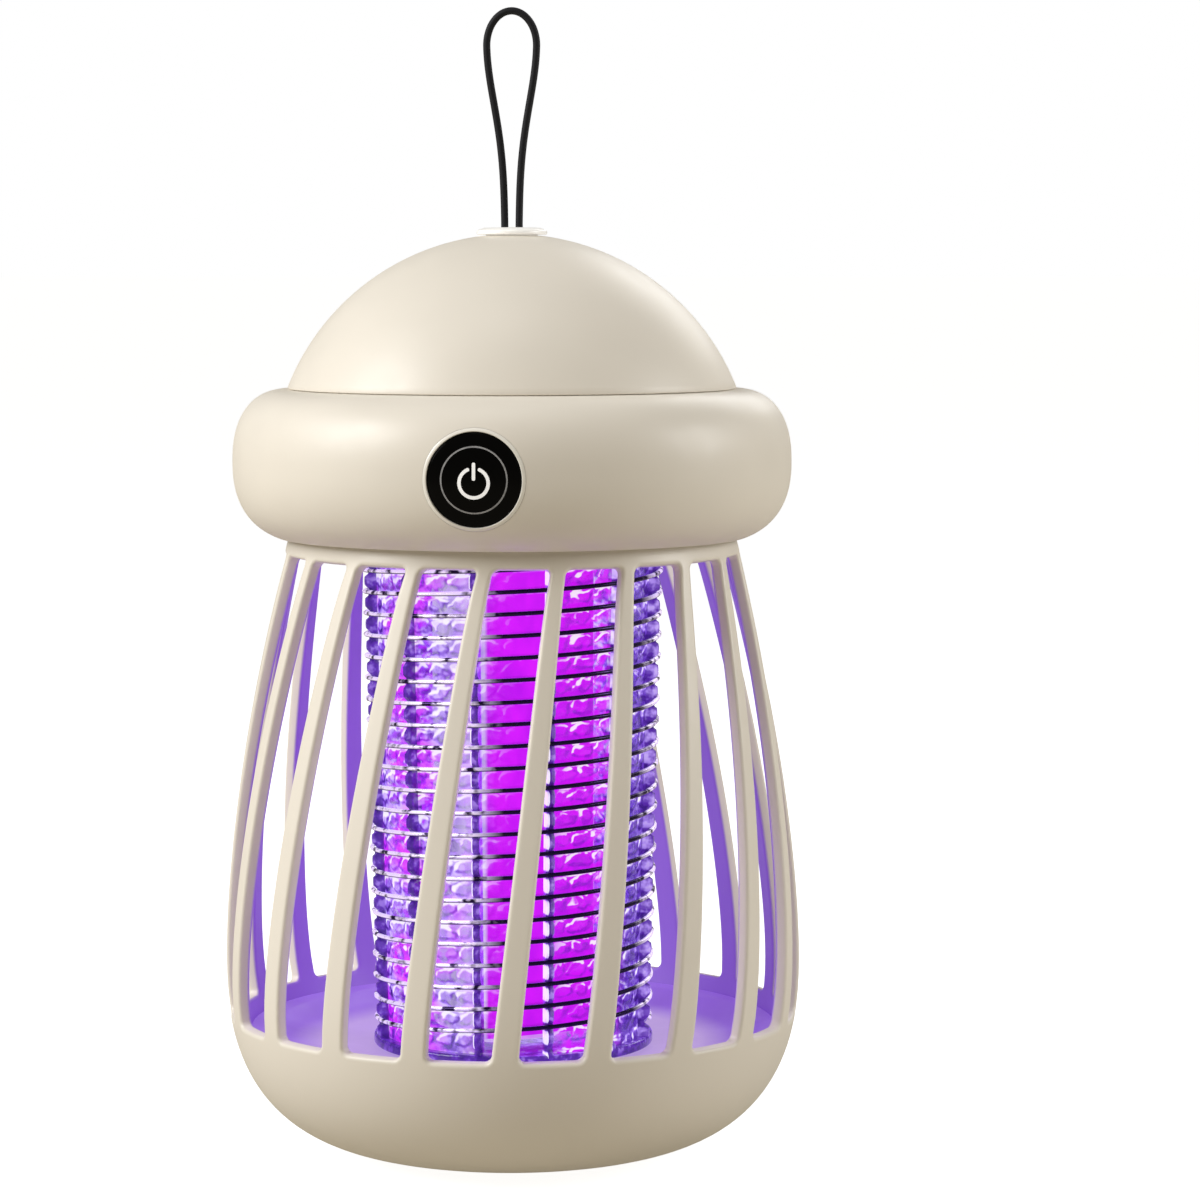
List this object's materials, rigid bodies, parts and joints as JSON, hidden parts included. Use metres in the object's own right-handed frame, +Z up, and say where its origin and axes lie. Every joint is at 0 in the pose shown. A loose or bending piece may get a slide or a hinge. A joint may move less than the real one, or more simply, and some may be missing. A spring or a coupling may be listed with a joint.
{
  "type": "electric bug zapper",
  "caption": "Hanging electric bug zapper: a domed, collared head twists onto a slotted cage with a bowl, and carries a lamp inside coiled high-voltage wires.",
  "frame": {"origin": "middle of the resting plane, under the bowl's rubber foot ring", "axes": "+Z up along the lamp's axis, -Y towards the power button, +X to the right of someone who faces the button"},
  "size_m": [0.1094, 0.1094, 0.218],
  "materials": {
    "cream": "satin moulded ABS, warm cream",
    "cream_dark": "satin moulded ABS, lit violet by the lamp",
    "pearl": "glossy pearl",
    "black_gloss": "polished black with a printed white power symbol and a thin grey ring",
    "black_cord": "woven cord and wire insulation",
    "wire_red": "wire insulation",
    "rubber": "matt",
    "silicone": "matt",
    "steel": "bright drawn wire and plated screws",
    "violet_clear": "clear, tinted violet by the lamp",
    "lamp": "translucent diffuser, lit magenta and lavender",
    "board_green": "solder-masked circuit board",
    "board_white": "white solder mask",
    "cell_blue": "steel can in a plastic sleeve",
    "black_plastic": "moulded",
    "epoxy": "potted block",
    "copper": "wound and dipped",
    "lens": "clear light pipe"
  },
  "bodies": {
    "cage": {"cage_bowl": "cream", "bug_tray": "cream_dark", "foot_ring": "rubber"},
    "seal": {"neck_seal": "silicone"},
    "head": {"collar_shell": "cream", "dome_shell": "cream", "head_deck": "cream", "button_bezel": "cream", "hang_cap": "pearl", "cord_end_left": "black_cord", "cord_end_right": "black_cord", "battery_lead_minus": "black_cord", "button_lead": "black_cord", "lamp_lead": "black_cord", "hv_lead_return": "black_cord", "battery_lead_plus": "wire_red", "jack_lead": "wire_red", "hv_lead_live": "wire_red", "grid_wire_live": "steel", "grid_wire_return": "steel", "jack_pin": "steel", "cord_clip": "steel", "head_screw_1": "steel", "head_screw_2": "steel", "head_screw_3": "steel", "grid_screw_1": "steel", "grid_screw_2": "steel", "grid_screw_3": "steel", "board_screw_1": "steel", "board_screw_2": "steel", "board_screw_3": "steel", "grid_frame": "violet_clear", "lamp_column": "lamp", "main_board": "board_green", "switch_board": "board_green", "led_panel_1": "board_white", "led_panel_2": "board_white", "led_panel_3": "board_white", "led_panel_4": "board_white", "battery_cell": "cell_blue", "battery_cradle": "black_plastic", "dc_jack": "black_plastic", "switch_body": "black_plastic", "hv_module": "epoxy", "hv_capacitor": "copper", "boost_transformer": "copper", "charge_lens": "lens"},
    "button": {"power_button": "black_gloss"},
    "plunger": {"switch_plunger": "board_white"},
    "cord": {"hang_cord": "black_cord"}
  },
  "joints": [
    {"name": "head_turn", "type": "hinge", "parent": "cage", "child": "seal", "pos_m": [0, 0, 0.1174], "axis": [0, 0, 1], "range_deg": [-28, 0]},
    {"name": "head_lift", "type": "slide", "parent": "seal", "child": "head", "axis": [0, 0, 1], "range_m": [0, 0.125]},
    {"name": "button_press", "type": "slide", "parent": "head", "child": "button", "axis": [0, 1, 0], "range_m": [0, 0.0006], "stiffness_N_per_m": 1500, "springref_m": -0.0006},
    {"name": "plunger_press", "type": "slide", "parent": "head", "child": "plunger", "axis": [0, 1, 0], "range_m": [0, 0.0006]},
    {"name": "cord_swing", "type": "hinge", "parent": "head", "child": "cord", "pos_m": [0, 0, 0.1776], "axis": [1, 0, 0], "range_deg": [-85, 85], "stiffness_Nm_per_rad": 0.0002}
  ],
  "couplings": [
    {"joint": "plunger_press", "follows": "button_press", "ratio": 1}
  ]
}
